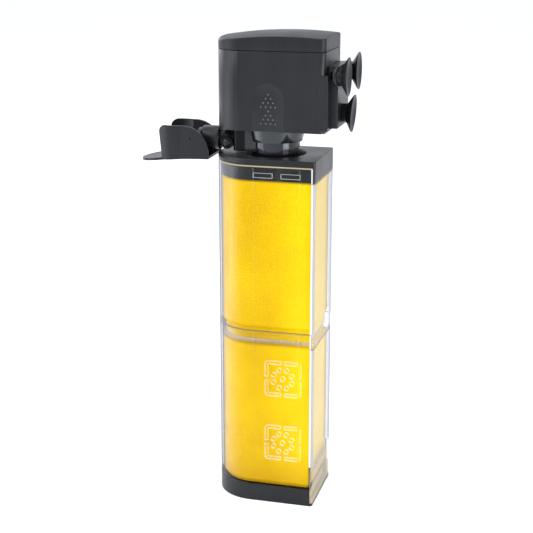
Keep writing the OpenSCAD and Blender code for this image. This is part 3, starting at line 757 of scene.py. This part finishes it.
def grip_places(side):
    """Two triangles of dots, one above the other, on the finger grip of one side."""
    places = []
    for row, dots in enumerate(GRIP_ROWS):
        z = GRIP_TOP - row * GRIP_ROW
        for dot in range(dots):
            y = GRIP_CENTRE + (dot - (dots - 1) / 2) * GRIP_GAP
            places.append(Vector((side * OUTSIDE, y, z)))
    return places


def back_places():
    """Staggered rows of small dots across the back of the housing, under the cap."""
    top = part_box("pump_housing")[1].z - BACK_DOT_GAP
    places = []
    for row in range(BACK_DOT_ROWS):
        start = BACK_DOT_X[0] + (row % 2) * BACK_DOT_GAP / 2
        z = top - row * BACK_DOT_ROW
        count = int((BACK_DOT_X[1] - start) / BACK_DOT_GAP) + 1
        places += [Vector((start + i * BACK_DOT_GAP, OUTSIDE, z)) for i in range(count)]
    return places


# ------------------------------------------------------------------ studio

WORLD_COLOUR = rgb(1.0, 1.03, 1.10)
FLOOR_REACH = 6.0
FLOOR_DROP = 0.2 * MM
CLEAR_BOUNCES = 32           # a ray can pass through many clear walls before it ends


def area_light(name, place, aim, size, power, colour=(1, 1, 1)):
    """A rectangular soft light that points at a place."""
    data = bpy.data.lights.new(name, "AREA")
    data.shape = "RECTANGLE"
    data.size, data.size_y = size
    data.energy = power
    data.color = colour
    lamp = bpy.data.objects.new(name, data)
    bpy.context.scene.collection.objects.link(lamp)
    lamp.location = place
    lamp.rotation_euler = (Vector(aim) - Vector(place)).to_track_quat("-Z", "Y").to_euler()


def make_studio():
    """Pale paper floor, even daylight round the object, and soft panels beside and above it."""
    world = bpy.data.worlds.new("studio")
    world.use_nodes = True
    sky = world.node_tree.nodes["Background"].inputs
    sky["Color"].default_value = WORLD_COLOUR
    sky["Strength"].default_value = 1.0
    bpy.context.scene.world = world
    bpy.context.scene.view_settings.view_transform = "Standard"
    bpy.context.scene.cycles.transparent_max_bounces = CLEAR_BOUNCES
    area_light("key", place=(1.2, -1.1, 1.3), aim=(0, 0, 0.2), size=(1.0, 1.4), power=12,
               colour=(1.0, 0.96, 0.9))
    area_light("left_panel", place=(0.23, -0.5, 0.3), aim=(0, 0, 0.25), size=(0.32, 0.6), power=1.2)
    area_light("right_panel", place=(0.28, 0.53, 0.3), aim=(0, 0, 0.25), size=(0.3, 0.6), power=3.2)
    area_light("far_fill", place=(-0.8, -1.3, 1.0), aim=(0, 0, 0.2), size=(1.4, 1.4), power=12)
    area_light("top", place=(0.1, 0.0, 1.7), aim=(0, 0, 0.3), size=(1.0, 1.0), power=9)
    mesh = bpy.data.meshes.new("floor")
    reach = FLOOR_REACH
    mesh.from_pydata([(-reach, -reach, 0), (reach, -reach, 0), (reach, reach, 0), (-reach, reach, 0)], [],
                     [(0, 1, 2, 3)])
    mesh.materials.append(floor_paper("floor_paper"))
    floor = bpy.data.objects.new("floor", mesh)
    floor.location.z = -FLOOR_DROP
    bpy.context.scene.collection.objects.link(floor)


# ------------------------------------------------------------------ scene

make_camera()
make_studio()

LOWER_LOW, LOWER_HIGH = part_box("lower_cup")
UPPER_LOW, UPPER_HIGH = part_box("upper_cup")

MATERIALS = {
    "housing": black_plastic("housing_plastic"),
    "cap": black_plastic("cap_plastic", tone=0.0088, rough=0.38, gloss=0.22),
    "lid": black_plastic("lid_plastic", tone=0.007, rough=0.34, grain=0.7, gloss=0.28),
    "pipe": black_plastic("pipe_plastic", tone=0.0075, rough=0.34, grain=0.5, gloss=0.30),
    "gloss": black_plastic("chamber_plastic", tone=0.005, rough=0.13, grain=0.3, gloss=0.6,
                           dull_before=-22 * MM),
    # Painted highlight: the dots are a lighter copy of the black plastic, so that they read as lit.
    "dots": black_plastic("dot_highlight_plastic", tone=0.06, rough=0.3, grain=0.2, gloss=0.5),
    "mark": black_plastic("moulding_mark", tone=0.002, rough=0.6, grain=0.2, gloss=0.05),
    "resin": black_plastic("potting_resin", tone=0.02, rough=0.2, grain=0.2, gloss=0.5),
    "seal": rubber("seal_rubber", tone=0.02, rough=0.45),
    "cup": rubber("suction_cup_rubber", tone=0.009, rough=0.32, gloss=0.14),
    "lower_clear": clear_plastic("lower_cup_plastic", LOWER_LOW, LOWER_HIGH, strip_z=POST_TOP_Z,
                                 back_z=POST_TOP_Z, rim_colour=rgb(0.22, 0.19, 0.13), rim_share=0.45),
    # The upper cup's rim line is a painted highlight.
    "upper_clear": clear_plastic("upper_cup_plastic", UPPER_LOW, UPPER_HIGH,
                                 strip_z=UPPER_LOW.z + OVERLAP, back_z=UPPER_LOW.z,
                                 rim_colour=rgb(0.62, 0.52, 0.30), rim_share=0.75),
    "foam": yellow_foam("filter_foam"),
    "white": white_plastic("white_plastic"),
    "steel": lamination_steel("lamination_steel"),
    "copper": copper_wire("winding_wire"),
    "shaft": plain_metal("ground_steel", (0.7, 0.7, 0.72), metallic=1.0, rough=0.2, stretch=(1, 1, 8)),
    "ferrite": plain_metal("sintered_ferrite", (0.08, 0.08, 0.085), metallic=0.4, rough=0.55,
                           stretch=(1, 1, 1)),
}
FINISHES = {
    "housing": ["pump_housing", "cup_bracket"],
    "cap": ["pump_cap"],
    "lid": ["canister_lid", "base_tray"],
    "pipe": ["swivel_collar", "flow_nozzle", "air_knob"],
    "gloss": ["impeller_chamber"],
    "lower_clear": ["lower_cup"],
    "upper_clear": ["upper_cup"],
    "foam": ["lower_sponge", "upper_sponge"],
    "seal": ["neck_o_ring", "chamber_seal", "cable_gland"],
    "cup": ["left_suction_cup", "right_suction_cup", "lower_suction_cup"],
    "white": ["lower_bush", "upper_bush", "coil_bobbin", "impeller"],
    "steel": ["stator_core"],
    "copper": ["stator_coil"],
    "resin": ["resin_fill"],
    "shaft": ["rotor_shaft"],
    "ferrite": ["rotor_magnet"],
}
for finish, names in FINISHES.items():
    for node_name in names:
        NODES[node_name].data.materials.clear()
        NODES[node_name].data.materials.append(MATERIALS[finish])

EDGE_WIDTHS = {
    0.5: ["cup_bracket", "canister_lid"],
    0.4: ["base_tray", "swivel_collar"],
    0.35: ["left_suction_cup", "right_suction_cup", "lower_suction_cup"],
    0.3: ["pump_housing", "air_knob", "cable_gland"],
}
for width, names in EDGE_WIDTHS.items():
    for node_name in names:
        soften_edges(NODES[node_name], width * MM)

make_cap("pump_cap", "head", MATERIALS["cap"])
make_sponge("lower_foam_block", "lower_sponge", "lower_foam", MATERIALS["foam"])
make_sponge("upper_foam_block", "upper_sponge", "upper_foam", MATERIALS["foam"])

for side, word in ((1, "right"), (-1, "left")):
    make_dots(f"grip_dots_{word}", grip_places(side), Vector((-side, 0, 0)), "pump_housing", "head",
              MATERIALS["dots"], DOT_R, DOT_RISE)
make_dots("back_dots", back_places(), Vector((0, -1, 0)), "pump_housing", "head",
          MATERIALS["dots"], BACK_DOT_R, BACK_DOT_RISE)
make_dots("nozzle_mark", [Vector((OUTSIDE, NOZZLE_MARK_Y, NOZZLE_MARK_Z))], Vector((-1, 0, 0)),
          "flow_nozzle", "nozzle", MATERIALS["mark"], DOT_R, NOZZLE_MARK_RISE)
